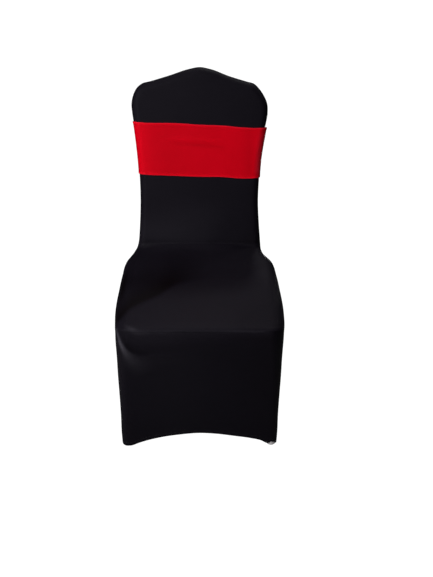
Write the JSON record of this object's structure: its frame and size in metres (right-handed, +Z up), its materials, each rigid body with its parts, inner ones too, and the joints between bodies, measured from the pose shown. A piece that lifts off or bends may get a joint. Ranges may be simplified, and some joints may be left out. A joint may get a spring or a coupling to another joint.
{
  "type": "fitted chair cover with sash",
  "caption": "Fitted stretch cover for a crown-back banquet chair, with arched hems, foot pockets and a contrasting sash round the back.",
  "frame": {"origin": "on the floor, under the middle of the cover's bounding box", "axes": "+Z up, -Y out of the front of the seat, +X to the right when the cover is seen from the front"},
  "size_m": [0.464, 0.5641, 0.9488],
  "materials": {
    "black_knit": "matte stretch knit with a soft sheen",
    "red_knit": "smooth stretch knit with a soft sheen",
    "pocket_cloth": "pale matte coated cloth"
  },
  "bodies": {
    "root": {"inside_back_and_seat": "black_knit", "front_skirt": "black_knit", "outside_back": "black_knit", "side_skirt_left": "black_knit", "side_skirt_right": "black_knit", "sash": "red_knit", "foot_pocket_front_left": "pocket_cloth", "foot_pocket_front_right": "pocket_cloth", "foot_pocket_rear_left": "pocket_cloth", "foot_pocket_rear_right": "pocket_cloth"}
  },
  "joints": []
}
